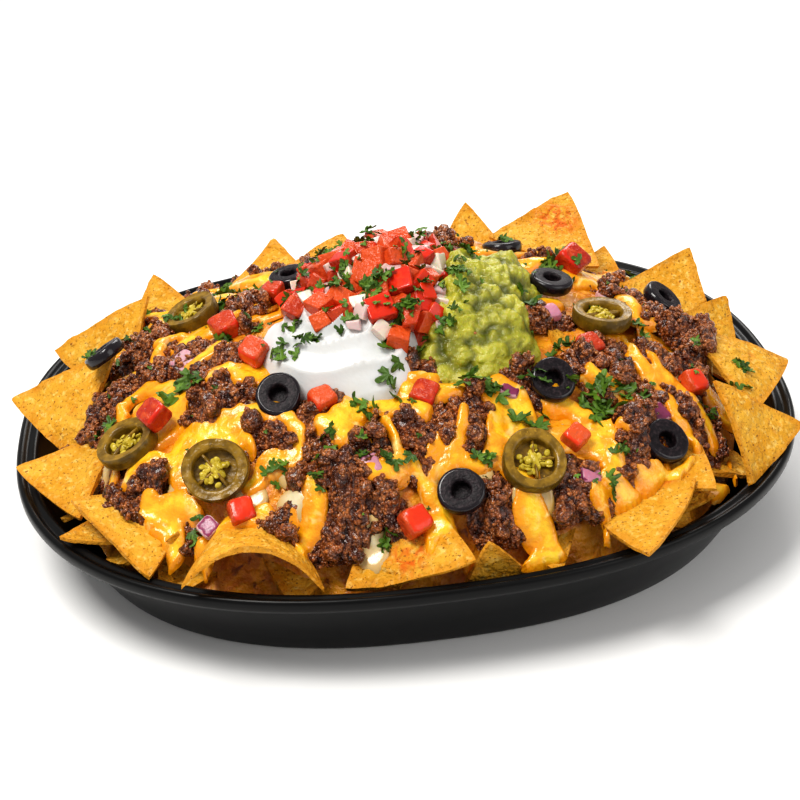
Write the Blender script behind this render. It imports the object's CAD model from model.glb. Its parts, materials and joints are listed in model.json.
"""Loaded nachos on a black oval dish.

Blender 4.5. Lengths are in millimetres until a mesh is made, in the frame of the CAD model: the
origin is the centre of the dish's underside, +X is right, +Y is the back and +Z is up.
"""

import json
import math

import bmesh
import bpy
import numpy as np
from mathutils import Euler, Matrix, Vector
from mathutils.bvhtree import BVHTree

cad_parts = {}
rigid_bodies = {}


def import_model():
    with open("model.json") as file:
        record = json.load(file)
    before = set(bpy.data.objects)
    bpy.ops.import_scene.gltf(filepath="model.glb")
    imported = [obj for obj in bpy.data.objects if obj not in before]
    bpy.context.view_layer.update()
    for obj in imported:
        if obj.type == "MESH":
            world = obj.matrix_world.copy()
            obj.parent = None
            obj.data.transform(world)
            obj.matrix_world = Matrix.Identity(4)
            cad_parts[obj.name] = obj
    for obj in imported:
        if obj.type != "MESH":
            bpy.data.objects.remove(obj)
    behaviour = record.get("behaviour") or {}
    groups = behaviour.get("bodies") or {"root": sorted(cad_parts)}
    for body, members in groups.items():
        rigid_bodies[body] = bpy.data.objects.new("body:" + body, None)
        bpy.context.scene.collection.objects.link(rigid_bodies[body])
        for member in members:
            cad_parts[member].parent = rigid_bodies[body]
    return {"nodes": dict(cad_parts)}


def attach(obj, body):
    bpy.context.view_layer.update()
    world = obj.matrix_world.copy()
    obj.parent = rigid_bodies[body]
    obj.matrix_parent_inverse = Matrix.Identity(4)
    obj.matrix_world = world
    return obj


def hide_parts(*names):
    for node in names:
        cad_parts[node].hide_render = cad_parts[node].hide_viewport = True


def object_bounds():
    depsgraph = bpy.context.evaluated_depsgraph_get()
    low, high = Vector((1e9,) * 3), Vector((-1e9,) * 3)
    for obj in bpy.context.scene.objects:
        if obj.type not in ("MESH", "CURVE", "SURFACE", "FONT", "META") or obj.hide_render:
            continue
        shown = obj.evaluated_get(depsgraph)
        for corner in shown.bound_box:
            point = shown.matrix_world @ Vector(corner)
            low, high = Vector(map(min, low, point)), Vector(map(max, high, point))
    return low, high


MM = 0.001

# The dish's oval and the heap's dome, as in the CAD model.
RIM_LENGTH = 350.0
RIM_WIDTH = 297.0
RIM_HEIGHT = 42.0
OVAL_POWER = 2.4
HEAP_RISE = 59.0
HEAP_FALL = 62.0
HEAP_POWER = 1.8
HEAP_EDGE_DROP = 10.0
BACK_DROP = 6.0
BACK_RIGHT_DROP = 8.0

# The dish's inner wall: heights, and the rim scale at each.
WALL_HEIGHTS = (2.7, 6.0, 14.8, 25.4, 31.0, 36.6, 40.0, 42.0)
WALL_SCALES = (0.825, 0.852, 0.880, 0.914, 0.930, 0.943, 0.952, 0.972)

# Fine meshes.
DISH_SPOKES = 200
BED_SPOKES = 320
BED_RINGS = 110
CHIP_GRID = 38
COARSE_CHIP_GRID = 24
CHEESE_STEP = 0.9
BEEF_STEP = 0.66
MOST_LUMPS = 600
MOST_GRAINS = 2300
SLICE_STEPS = 56

# Clumps of beef: x, y, radius, height over the heap.
CLUMPS = [
    (-109, 13, 17, 5), (-136, -28, 15, 4), (-143, -52, 13, 3), (-120, -77, 17, 4), (-82, -54, 16, 6),
    (-61, -80, 14, 4), (-41, -80, 15, 4), (-35, -107, 20, 5), (-9, -93, 14, 4), (15, -88, 15, 5),
    (-38, -134, 11, 3), (-100, -117, 14, 3), (28, -120, 13, 3), (54, -119, 16, 5), (58, -133, 13, 3),
    (78, -63, 15, 5), (107, -10, 15, 5), (126, -25, 15, 5), (85, -104, 14, 4), (117, -77, 13, 4),
    (104, -53, 13, 4), (88, -90, 12, 4), (75, 35, 17, 4), (-69, 20, 16, 4), (10, 92, 20, 4), (-60, 84, 18, 4),
    (92, 84, 17, 4), (-112, 62, 16, 4),
]
# More of them at the back, low on the heap.
BACK_CLUMPS = [
    (-22, 118, 14, 3), (38, 116, 14, 3), (-92, 96, 13, 3), (-28, 64, 15, 3), (118, 56, 14, 3),
    (36, 60, 14, 3), (-84, 52, 13, 3), (132, 18, 12, 3), (66, 112, 12, 3), (-136, 20, 11, 3),
]

# Chips that stand clear of the heap, as in the CAD model: free corner, yaw, pitch, roll, size, bows.
CHIPS = [
    ("chip_left_top", (-178, 16, 51), -35, 13, 37, 62, 3, -3),
    ("chip_left_low", (-174, -32, 44), -28, 12, 18, 56, 2, -3),
    ("chip_left_fold", (-153, -88, 42), 16, 1, -4, 50, 3, 3),
    ("chip_left_strip", (-147, -76, 59), -22, -14, 0, 58, -4, -6),
    ("chip_front_arch", (-70, -85, 53), -92, 11, -8, 60, 0, -21),
    ("chip_front_big", (14, -145, 49), 144, 3, -28, 58, 3, -4),
    ("chip_front_right", (17, -139, 56), 66, -76, -30, 50, 2, 2),
    ("chip_right_front", (76, -152, 46), 82, 2, -8, 54, 2, 2),
    ("chip_right_arch", (114, -119, 52), 120, 5, -14, 52, -3, -8),
    ("chip_right_low", (117, -111, 41), 164, 4, -4, 50, 2, -2),
    ("chip_right_side", (166, -67, 43), -152, 20, -44, 52, 3, -3),
    ("chip_right_big", (179, -21, 50), -152, 18, -21, 62, -3, -4),
    ("chip_back_right", (150, 53, 73), -120, -14, -21, 60, 4, 2),
    ("chip_back_right_end", (160, 23, 63), -124, -18, -36, 54, 2, 2),
    ("chip_back_tall", (103, 108, 85), -117, -13, -13, 62, 4, 2),
    ("chip_back_small", (118, 91, 62), -112, -20, -10, 50, 2, 2),
    ("chip_back_middle", (49, 110, 86), -92, -34, -4, 50, 2, 2),
    ("chip_back_left", (-48, 119, 69), -101, -8, 9, 58, 5, 2),
    ("chip_back_hidden", (-15, 102, 78), -102, -6, -16, 54, 2, 2),
    ("chip_left_back", (-111, 97, 70), -82, -28, 14, 54, 3, 2),
    ("chip_left_side", (-163, 64, 49), -34, 12, 44, 62, 2, -3),
]
# The chips among them that cheese and beef lie on.
DRESSED = ("chip_left_strip", "chip_front_big", "chip_right_arch", "chip_front_arch", "chip_right_big")
# Where sauce has soaked into them: x, y, z, radius.
STAINS = [(92, 87, 80, 13), (-14, -132, 50, 10), (-112, -70, 55, 8), (150, -30, 56, 7), (92, -104, 55, 8)]
# Chips packed behind and below those, at the dish's wall.
FILLERS = [
    ((-160, -8, 33), -20, 16, 30, 46, 2, -3), ((-158, -62, 32), 12, 20, -24, 46, 2, 3),
    ((-140, -104, 31), 30, 18, -20, 46, 3, 3), ((-112, -122, 31), 60, 8, 12, 44, 2, 4),
    ((-60, -138, 31), 80, 14, 10, 48, 2, 3), ((-18, -140, 36), 100, 6, -6, 50, 2, -4),
    ((44, -140, 33), 96, 24, 8, 46, 2, 3), ((104, -122, 33), 126, 20, -10, 46, 2, 3),
    ((146, -92, 33), 150, 18, 12, 46, 2, -3), ((160, -40, 34), 176, 22, 18, 48, 2, -3),
    ((156, 10, 38), -170, 20, -20, 48, 2, 3), ((146, 62, 38), -150, 16, 14, 50, 3, 3),
    ((116, 106, 36), -128, 14, -18, 50, 3, 3), ((78, 130, 40), -110, 12, 10, 52, 3, -3),
    ((34, 138, 44), -96, 6, -14, 54, 3, 3), ((-8, 140, 42), -84, 8, 12, 52, 3, -3),
    ((-60, 134, 42), -70, 8, -10, 52, 3, 3), ((-100, 118, 40), -56, 14, 16, 50, 3, 3),
    ((-136, 88, 38), -40, 16, -14, 48, 2, 3),
]

# Bands of melted yellow cheese: half width, then the points that each runs through.
BANDS = [
    (2.2, [(-79, 47), (-70, 49), (-63, 63)]),
    (1.8, [(-109, 50), (-118, 44), (-125, 36)]),
    (3.0, [(-78, -18), (-85, -25), (-92, -27)]),
    (2.6, [(-105, -1), (-111, -8), (-121, -6), (-131, -3), (-139, -4)]),
    (5.5, [(-61, -45), (-68, -48)]),
    (3.0, [(-71, -44), (-79, -41), (-84, -45)]),
    (2.6, [(-101, -32), (-113, -24), (-120, -26), (-123, -33), (-124, -40)]),
    (4.0, [(-60, -73), (-71, -67), (-79, -69), (-84, -72)]),
    (4.5, [(-84, -72), (-94, -69), (-99, -73), (-98, -80)]),
    (2.5, [(-74, -77), (-70, -84)]),
    (2.8, [(-59, -73), (-53, -80), (-50, -86), (-52, -91)]),
    (3.2, [(-121, -75), (-116, -71), (-107, -73), (-101, -77), (-99, -85)]),
    (3.4, [(-112, -88), (-110, -95), (-105, -100), (-103, -107)]),
    (3.6, [(-70, -97), (-66, -93), (-60, -92), (-55, -92)]),
    (2.8, [(-47, -105), (-45, -111), (-49, -116), (-54, -121), (-56, -127), (-60, -130)]),
    (3.6, [(-92, -111), (-88, -112), (-82, -111), (-73, -110), (-66, -110)]),
    (2.6, [(-92, -111), (-90, -117)]),
    (4.5, [(-34, -90), (-31, -82), (-25, -76)]),
    (5.0, [(-25, -76), (-17, -76), (-12, -80)]),
    (2.6, [(-23, -108), (-17, -106), (-12, -107)]),
    (2.2, [(51, 22), (55, 13), (61, 4)]),
    (5.0, [(85, 20), (91, 16), (99, 14)]),
    (3.0, [(61, -20), (69, -17)]),
    (2.4, [(101, -5), (103, -18), (104, -30), (103, -49), (106, -59)]),
    (2.6, [(85, -40), (93, -38), (95, -48), (97, -58), (100, -63), (106, -63)]),
    (6.5, [(35, -74), (37, -82), (39, -89)]),
    (3.4, [(54, -80), (62, -82), (66, -86)]),
    (2.6, [(108, -60), (115, -64), (119, -76), (121, -83)]),
    (3.0, [(131, -64), (139, -66), (141, -73), (130, -87)]),
    (3.4, [(28, -77), (31, -86), (27, -96), (24, -104)]),
    (2.8, [(-10, -104), (-4, -111), (1, -120), (4, -125), (6, -131)]),
    (5.5, [(36, -123), (41, -128), (42, -133), (36, -138)]),
    (3.8, [(59, -98), (66, -95), (72, -101), (74, -108), (71, -113)]),
    (2.8, [(65, -118), (66, -125), (66, -131), (67, -135)]),
    (2.0, [(98, -64), (103, -70), (106, -79), (110, -87), (112, -94)]),
    (3.0, [(84, -111), (94, -107), (104, -104), (113, -101), (120, -102)]),
    (2.6, [(58, -76), (63, -83)]),
    (1.8, [(78, -91), (82, -96)]),
    (4.0, [(-7, -74), (-3, -81), (0, -86)]), (3.4, [(-12, -80), (-2, -80), (8, -77), (16, -75)]),
    (2.4, [(-24, -107), (-17, -105), (-10, -103), (-5, -107), (0, -112)]), (2.0, [(-33, -91), (-27, -89)]),
    (1.8, [(-16, -88), (-12, -96), (-10, -103)]), (2.2, [(2, -106), (10, -103), (19, -106), (26, -104)]),
    (1.6, [(16, -86), (14, -94), (12, -102)]),
    (3.0, [(72, -70), (80, -74), (86, -80)]), (3.4, [(-2, -68), (6, -68), (13, -64)]), (4.0, [(-38, -86), (-29, -84), (-24, -80)]),
    (3.4, [(30, -92), (34, -100), (31, -108), (36, -116)]), (3.2, [(-114, -90), (-107, -91), (-101, -94), (-95, -99)]),
    (2.6, [(-128, -66), (-134, -72), (-140, -70)]),
]
# Patches of melted white cheese: x, y, radius.
WHITE_PATCHES = [
    (-134, -55, 6), (-81, -10, 7), (-55, -94, 7), (-53, -109, 8), (-72, -102, 7), (-27, -126, 6),
    (9, -107, 7), (38, -120, 8), (137, -43, 5), (116, -59, 4), (135, -69, 4), (58, 32, 5), (30, -93, 4),
    (99, -78, 4), (55, -89, 3), (-68, -62, 4), (-20, 84, 7), (52, 92, 7), (-84, 74, 6), (112, 32, 5), (-100, -86, 5), (14, -109, 4), (20, -107, 5), (4, -108, 4),
]

# Cilantro leaves: x, y, size.
LEAVES = [
    (-78, 59, 7), (-77, -14, 8), (-63, -8, 7), (-95, -38, 13), (-91, -42, 9), (-136, -6, 7),
    (-123, 18, 7), (-132, -41, 9), (-55, -49, 9), (-47, -52, 8), (-40, -53, 8), (-47, -41, 7),
    (-24, -79, 10), (-13, -67, 12), (-39, -92, 9), (28, 39, 9), (33, -4, 8), (55, -28, 9),
    (22, -77, 13), (27, -75, 9), (41, -86, 12), (72, -86, 14), (66, -82, 10), (72, -76, 11),
    (90, -75, 12), (65, -49, 9), (125, -42, 7), (104, -34, 7), (147, -42, 8), (141, -57, 8),
    (123, -75, 8), (77, -103, 8), (21, -106, 8), (80, 10, 8), (104, 8, 7), (79, -20, 9), (5, -55, 9),
    (-2, -50, 8), (11, -37, 7), (-93, -105, 9), (-22, -125, 8), (-60, -96, 8), (-44, -107, 7),
    (-14, -101, 9), (-27, -99, 7), (72, -117, 8), (45, -80, 9), (77, -76, 11), (81, -80, 9),
]

# Mounds on top: centre x, y, half widths x, y, slant to the right per mm towards the back, and height.
SOUR_CREAM = (-25, -43, 37, 31, 0, 9)
LOBE = (7, -60)
GUACAMOLE = (33, -28, 28, 46, 0.22, 15)
PICO = (-5, -13, 43, 45, 0, 31)


for old in list(bpy.data.objects):
    bpy.data.objects.remove(old, do_unlink=True)
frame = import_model()
# The CAD model's box, in metres: nothing here stands outside it.
BOX = [list(corner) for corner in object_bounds()]


# Noise --------------------------------------------------------------------------------------


def hashed(cells, seed):
    """A value from -1 to 1 for each whole-numbered cell."""
    mixed = cells[..., 0] * 73856093 ^ cells[..., 1] * 19349663 ^ cells[..., 2] * 83492791 ^ seed * 9176423
    for _ in range(2):
        mixed = mixed & 0xFFFFFFFF
        mixed = (mixed ^ mixed >> 16) * 0x45D9F3B
    return (mixed >> 8 & 0xFFFFFF) / 0x7FFFFF - 1


def bumps(points, size, seed=0):
    """Smooth noise from -1 to 1, with features about as large as size."""
    at = np.asarray(points, float) / size
    low = np.floor(at).astype(np.int64)
    part = at - low
    part = part**3 * (part * (part * 6 - 15) + 10)
    total = np.zeros(at.shape[:-1])
    for corner in np.ndindex(2, 2, 2):
        weight = np.prod(np.where(corner, part, 1 - part), axis=-1)
        total += weight * hashed(low + np.array(corner), seed)
    return total


def rough(points, size, octaves=3, seed=0):
    """Noise with finer and finer detail on top of the first size."""
    total = 0
    for octave in range(octaves):
        total = total + bumps(points, size / 2**octave, seed + octave) / 2**octave
    return total


def cells(points, size, seed=0):
    """Distance to the nearest of many scattered points, over size: 0 at the middle of a cell."""
    at = np.asarray(points, float) / size
    low = np.floor(at).astype(np.int64)
    nearest = np.full(at.shape[:-1], 9.0)
    for step in np.ndindex(3, 3, 3):
        cell = low + np.array(step) - 1
        spot = np.stack([hashed(cell, seed + axis) for axis in range(3)], axis=-1)
        nearest = np.minimum(nearest, np.linalg.norm(cell + 0.5 + 0.42 * spot - at, axis=-1))
    return nearest


def flat3(x, y, z=0.0):
    return np.stack([x, y, np.full_like(np.asarray(x, float), z)], axis=-1)


# Heap ---------------------------------------------------------------------------------------


def rim_scale(x, y):
    """How far out a point lies: 0 at the centre, 1 on the rim's outline."""
    across = np.abs(x) / (RIM_LENGTH / 2)
    along = np.abs(y) / (RIM_WIDTH / 2)
    return (across**OVAL_POWER + along**OVAL_POWER) ** (1 / OVAL_POWER)


def on_oval(angle, scale):
    """The point of the rim's outline at an angle, drawn in or out by scale."""
    x = np.cos(angle)
    y = np.sin(angle) * RIM_WIDTH / RIM_LENGTH
    reach = scale / rim_scale(x, y)
    return x * reach, y * reach


def smooth_step(low, high, value):
    part = np.clip((value - low) / (high - low), 0, 1)
    return part * part * (3 - 2 * part)


def heap_edge(angle):
    """The rim scale at which the heap's top turns down to the dish: further in at the two ends."""
    return 0.895 - 0.035 * np.cos(angle) ** 2 + 0.012 * np.sin(5 * angle + 1)


def ground(x, y, share=1.0):
    """Height of the heap of chips and cheese, with that share of its beef clumps."""
    x = np.asarray(x, float)
    y = np.asarray(y, float)
    out = rim_scale(x, y)
    height = RIM_HEIGHT + HEAP_RISE - HEAP_FALL * out**HEAP_POWER
    height = height - 7 * np.exp(-((x + 75) ** 2 + (y - 62) ** 2) / (2 * 46**2))
    back_drop = BACK_DROP + BACK_RIGHT_DROP * smooth_step(30, 110, x)
    height = height - back_drop * smooth_step(-20, 90, y)
    for clump_x, clump_y, radius, rise in CLUMPS + BACK_CLUMPS:
        off = ((x - clump_x) ** 2 + (y - clump_y) ** 2) / radius**2
        height = height + share * rise * np.exp(-1.6 * off)
    angle = np.arctan2(y * RIM_LENGTH / RIM_WIDTH, x)
    height = height - HEAP_EDGE_DROP * smooth_step(0.86, 1.0, out / heap_edge(angle))
    return height + 1.4 * bumps(flat3(x, y), 30, 3)


# Meshes -------------------------------------------------------------------------------------


class Stock:
    """Gathers the points and faces of many shapes into one mesh, in millimetres."""

    def __init__(self):
        self.points = []
        self.tones = []
        self.faces = []
        self.finishes = []
        self.count = 0

    def put(self, points, faces, finish=0, tone=0.5):
        """Adds one shape. finish is a material's number, or one for each face. tone is for its paint."""
        self.points.append(np.asarray(points, float))
        self.tones.append(np.broadcast_to(tone, len(points)))
        self.faces.extend(tuple(int(index) + self.count for index in face) for face in faces)
        self.finishes.extend([finish] * len(faces) if isinstance(finish, int) else finish)
        self.count += len(points)

    def roughen(self, relief):
        """Moves the last shape's points along their normals. relief(points) gives how far, and the tone."""
        points = self.points[-1]
        first = self.count - len(points)
        corners = [(face[0], face[step], face[step + 1]) for face in self.faces
                   if face[0] >= first for step in range(1, len(face) - 1)]
        corners = np.array(corners) - first
        normals = np.zeros_like(points)
        across = np.cross(points[corners[:, 1]] - points[corners[:, 0]], points[corners[:, 2]] - points[corners[:, 0]])
        for corner in range(3):
            np.add.at(normals, corners[:, corner], across)
        normals /= np.maximum(np.linalg.norm(normals, axis=1), 1e-9)[:, None]
        rise, self.tones[-1] = relief(points)
        self.points[-1] = points + normals * rise[:, None]

    def tree(self):
        """A search tree of the shapes, in millimetres."""
        return BVHTree.FromPolygons(np.concatenate(self.points).tolist(), self.faces)

    def piece(self, name, slot, materials, replaced=(), sharp=60):
        """Makes the object, which rides on the dish."""
        mesh = bpy.data.meshes.new(name)
        points = np.clip(np.concatenate(self.points) * MM, *BOX)
        mesh.from_pydata(points.tolist(), [], self.faces)
        mesh.polygons.foreach_set("material_index", self.finishes)
        tone = mesh.attributes.new("tone", "FLOAT", "POINT")
        tone.data.foreach_set("value", np.concatenate(self.tones).astype(np.float32))
        made = bpy.data.objects.new(name, mesh)
        bpy.context.scene.collection.objects.link(made)
        for finish in materials:
            mesh.materials.append(finish)
        mesh.shade_smooth()
        mesh.set_sharp_from_angle(angle=math.radians(sharp))
        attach(made, "root")
        if replaced:
            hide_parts(*replaced)
        return made


def ring_faces(rows, count, closed_ends=False):
    """Faces between rows of count points each, with caps at both ends if asked."""
    faces = []
    for row in range(rows - 1):
        for step in range(count):
            after = (step + 1) % count
            low, high = row * count, (row + 1) * count
            faces.append((low + step, low + after, high + after, high + step))
    if closed_ends:
        faces.append(tuple(range(count))[::-1])
        faces.append(tuple((rows - 1) * count + step for step in range(count)))
    return faces


def ball(level):
    """Points and faces of a round ball of radius 1."""
    bm = bmesh.new()
    bmesh.ops.create_icosphere(bm, subdivisions=level, radius=1)
    points = np.array([vertex.co for vertex in bm.verts])
    faces = [tuple(vertex.index for vertex in face.verts) for face in bm.faces]
    bm.free()
    return points, faces


def turn_about(axis, spin=0.0):
    """A rotation as a 3 x 3 array that takes +Z to axis, after a spin about +Z."""
    tilt = Vector((0, 0, 1)).rotation_difference(Vector(axis)).to_matrix()
    return np.array(tilt @ Matrix.Rotation(spin, 3, "Z"))


def highest(trees, x, y):
    """The highest point of several shapes at (x, y), and which way the surface faces there."""
    best, best_normal = None, None
    for tree in trees:
        spot, normal, _, _ = tree.ray_cast(Vector((x, y, 200)), Vector((0, 0, -1)))
        if spot is not None and (best is None or spot.z > best.z):
            best, best_normal = spot, normal
    return best, best_normal


def random_turn(random):
    axis = random.normal(size=3)
    return turn_about(axis / np.linalg.norm(axis), random.uniform(0, math.tau))


def lathe(profile, steps, wave=0.0, seed=0):
    """Turns a profile of (radius, height) about Z, a little out of round by wave."""
    angles = np.arange(steps) * math.tau / steps
    out = 1 + wave * np.sin(2 * angles + seed) + 0.6 * wave * np.sin(3 * angles + 2 * seed)
    rows = [
        np.stack([radius * out * np.cos(angles), radius * out * np.sin(angles), np.full(steps, height)], -1)
        for radius, height in profile
    ]
    return np.concatenate(rows), ring_faces(len(profile), steps)


# Materials ----------------------------------------------------------------------------------


class Paint:
    """A procedural material. Sizes of its patterns are in millimetres."""

    def __init__(self, name, roughness, **settings):
        self.material = bpy.data.materials.new(name)
        self.material.use_nodes = True
        self.tree = self.material.node_tree
        self.shader = self.tree.nodes["Principled BSDF"]
        self.shader.inputs["Roughness"].default_value = roughness
        for socket, value in settings.items():
            self.shader.inputs[socket.replace("_", " ")].default_value = value
        self.place = self.tree.nodes.new("ShaderNodeTexCoord").outputs["Object"]

    def node(self, kind, links=(), **values):
        made = self.tree.nodes.new(kind)
        for socket, value in values.items():
            setattr(made, socket, value)
        for socket, value in links:
            if isinstance(value, bpy.types.NodeSocket):
                self.tree.links.new(value, made.inputs[socket])
            else:
                made.inputs[socket].default_value = value
        return made

    def grain(self, size, detail=3.0, warp=0.0):
        """Noise from 0 to 1 with features of that size."""
        links = [("Vector", self.place), ("Scale", 1000 / size), ("Detail", detail), ("Distortion", warp)]
        return self.node("ShaderNodeTexNoise", links).outputs["Fac"]

    def tone(self):
        """The tone that was given to the mesh's points, from 0 to 1."""
        return self.node("ShaderNodeAttribute", attribute_name="tone").outputs["Fac"]

    def spots(self, size):
        """Distance from scattered points that far apart, over that distance."""
        links = [("Vector", self.place), ("Scale", 1000 / size)]
        return self.node("ShaderNodeTexVoronoi", links).outputs["Distance"]

    def step(self, value, low, high):
        """0 below low and 1 above high, smooth between them."""
        made = self.node("ShaderNodeMapRange", [("Value", value), ("From Min", low), ("From Max", high)])
        made.interpolation_type = "SMOOTHSTEP"
        return made.outputs["Result"]

    def times(self, first, second):
        return self.node("ShaderNodeMath", [(0, first), (1, second)], operation="MULTIPLY").outputs[0]

    def blend(self, share, first, second):
        """The second colour where share is 1, the first where it is 0."""
        def color(value):
            return value if isinstance(value, bpy.types.NodeSocket) else (*value, 1.0)

        links = [(0, share), (6, color(first)), (7, color(second))]
        return self.node("ShaderNodeMix", links, data_type="RGBA").outputs[2]

    def stain(self, first, second, centre, radius):
        """The first colour, with a ragged stain of the second about a point, all in millimetres."""
        centre = tuple(value * MM for value in centre)
        away = self.node("ShaderNodeVectorMath", [(0, self.place), (1, centre)], operation="DISTANCE")
        near = self.step(away.outputs["Value"], 1.25 * radius * MM, 0.35 * radius * MM)
        return self.blend(self.times(near, self.step(self.grain(5, warp=1.0), 0.35, 0.6)), first, second)

    def relief(self, height, depth):
        """Bumps that stand depth millimetres high."""
        links = [("Height", height), ("Distance", depth * MM), ("Strength", 1.0)]
        earlier = self.shader.inputs["Normal"].links
        if earlier:
            links.append(("Normal", earlier[0].from_socket))
        made = self.node("ShaderNodeBump", links)
        self.tree.links.new(made.outputs["Normal"], self.shader.inputs["Normal"])

    def link(self, socket, value):
        self.tree.links.new(value, self.shader.inputs[socket])

    def finish(self, color):
        self.link("Base Color", color)
        return self.material


def dish_paint():
    paint = Paint("dish_black", 0.33, Specular_IOR_Level=0.2)
    paint.relief(paint.grain(0.7), 0.015)
    paint.relief(paint.grain(60), 0.8)
    return paint.finish(paint.blend(paint.grain(12), (0.0028, 0.0028, 0.003), (0.0048, 0.0048, 0.005)))


def chip_paint():
    """Fried corn: mottled gold, darker along its edges, with brown specks and soaked-in sauce."""
    paint = Paint("corn_chip", 0.56, Specular_IOR_Level=0.18)
    color = paint.blend(paint.step(paint.grain(14), 0.35, 0.65), (0.68, 0.315, 0.018), (0.76, 0.405, 0.042))
    color = paint.blend(paint.step(paint.grain(2.4), 0.50, 0.75), color, (0.85, 0.56, 0.145))
    color = paint.blend(paint.times(paint.step(paint.grain(5, warp=1.0), 0.55, 0.78), 0.8), color, (0.60, 0.22, 0.010))
    color = paint.blend(paint.times(paint.step(paint.tone(), 0.9, 0.0), 0.5), color, (0.60, 0.22, 0.010))
    for x, y, z, radius in STAINS:
        color = paint.stain(color, (0.66, 0.13, 0.006), (x, y, z), radius)
    speck = paint.step(paint.grain(1.1, 2.0), 0.62, 0.70)
    color = paint.blend(paint.times(speck, 0.85), color, (0.20, 0.05, 0.006))
    paint.relief(paint.step(paint.grain(4.5, 2.0), 0.35, 0.7), 0.7)
    paint.relief(paint.grain(1.3, 4.0), 0.8)
    return paint.finish(color)


def bed_paint():
    paint = Paint("cheesy_chips", 0.32, Subsurface_Weight=0.1, Subsurface_Scale=0.002)
    color = paint.blend(paint.step(paint.grain(11, warp=1.0), 0.38, 0.62), (0.62, 0.19, 0.010), (0.86, 0.36, 0.016))
    color = paint.blend(paint.step(paint.grain(14), 0.58, 0.70), color, (0.74, 0.34, 0.11))
    color = paint.blend(paint.step(paint.grain(6, warp=0.6), 0.60, 0.74), color, (0.22, 0.055, 0.012))
    paint.relief(paint.grain(3.5), 1.6)
    paint.relief(paint.grain(1.0), 0.3)
    return paint.finish(color)


def cheese_paint(name, deep, light, marbled, relief):
    paint = Paint(
        name, 0.24, Subsurface_Weight=0.25, Subsurface_Scale=0.003, Coat_Weight=0.3, Coat_Roughness=0.1
    )
    paint.shader.inputs["Subsurface Radius"].default_value = (1.0, 0.6, 0.2)
    color = paint.blend(paint.step(paint.tone(), 0.1, 0.9), deep, light)
    color = paint.blend(paint.times(paint.step(paint.grain(8, warp=0.6), 0.42, 0.70), 0.85), color, deep)
    color = paint.blend(paint.times(paint.step(paint.grain(9, warp=0.9), 0.57, 0.74), 0.8), color, marbled)
    color = paint.blend(paint.times(paint.step(paint.grain(2.2), 0.55, 0.75), 0.5), color, deep)
    paint.relief(paint.grain(5.0, 2.0), relief)
    paint.relief(paint.grain(1.6, 2.0), 0.35 * relief)
    return paint.finish(color)


def beef_paint():
    """Minced beef: brown grains, dark cracks between them and specks of fat."""
    paint = Paint("browned_beef", 0.24, Specular_IOR_Level=0.5, Coat_Weight=0.4, Coat_Roughness=0.12)
    light = paint.blend(paint.step(paint.grain(7), 0.35, 0.65), (0.41, 0.110, 0.023), (0.56, 0.185, 0.044))
    light = paint.blend(paint.step(paint.grain(0.9), 0.60, 0.72), light, (0.78, 0.44, 0.19))
    color = paint.blend(paint.step(paint.tone(), 0.25, 0.90), (0.080, 0.015, 0.004), light)
    color = paint.blend(paint.step(paint.tone(), 0.36, 0.0), color, (0.018, 0.003, 0.001))
    color = paint.blend(paint.times(paint.step(paint.spots(1.3), 0.42, 0.80), 0.75), color, (0.060, 0.011, 0.003))
    paint.relief(paint.step(paint.spots(1.3), 0.9, 0.1), 0.9)
    paint.relief(paint.grain(0.5), 0.12)
    return paint.finish(color)


def cream_paint():
    paint = Paint("sour_cream", 0.30, Subsurface_Weight=0.3, Subsurface_Scale=0.004)
    paint.shader.inputs["Subsurface Radius"].default_value = (1.0, 0.9, 0.8)
    paint.relief(paint.grain(3, 2.0), 0.15)
    return paint.finish(paint.blend(paint.grain(20), (0.71, 0.715, 0.705), (0.66, 0.665, 0.66)))


def guacamole_paint():
    """Mashed avocado: dark between the chunks and pale on them, with fine lighter bits."""
    paint = Paint("guacamole", 0.30, Subsurface_Weight=0.15, Subsurface_Scale=0.002)
    light = paint.blend(paint.step(paint.grain(7), 0.35, 0.65), (0.36, 0.345, 0.018), (0.47, 0.44, 0.04))
    light = paint.blend(paint.step(paint.grain(1.6), 0.55, 0.72), light, (0.60, 0.56, 0.13))
    color = paint.blend(paint.step(paint.tone(), 0.15, 0.8), (0.090, 0.098, 0.004), light)
    color = paint.blend(paint.step(paint.grain(2.6, warp=1.0), 0.66, 0.74), color, (0.12, 0.15, 0.008))
    paint.relief(paint.grain(1.5, 4.0), 0.7)
    return paint.finish(color)


def tomato_paint(name, deep, light, relief):
    """Tomato: each dice has a tone of its own, and soft streaks in it."""
    paint = Paint(
        name, 0.26, Specular_IOR_Level=0.35, Subsurface_Weight=0.10, Subsurface_Scale=0.002, Coat_Weight=0.15
    )
    color = paint.blend(paint.tone(), deep, light)
    color = paint.blend(paint.times(paint.step(paint.grain(4, warp=0.5), 0.45, 0.72), 0.7), color, light)
    paint.relief(paint.grain(2.0), relief)
    return paint.finish(color)


def onion_paint(name, flesh, skin, roughness=0.28):
    """Onion: each dice between two colours, with fine veins."""
    paint = Paint(name, roughness, Subsurface_Weight=0.25, Subsurface_Scale=0.002)
    color = paint.blend(paint.tone(), flesh, skin)
    color = paint.blend(paint.times(paint.step(paint.grain(3, warp=2.0), 0.48, 0.66), 0.7), color, skin)
    paint.relief(paint.grain(2.5), 0.25)
    return paint.finish(color)


def olive_skin_paint():
    paint = Paint("olive_skin", 0.18)
    paint.relief(paint.grain(1.2), 0.08)
    return paint.finish(paint.blend(paint.grain(4), (0.005, 0.004, 0.006), (0.016, 0.010, 0.014)))


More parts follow.
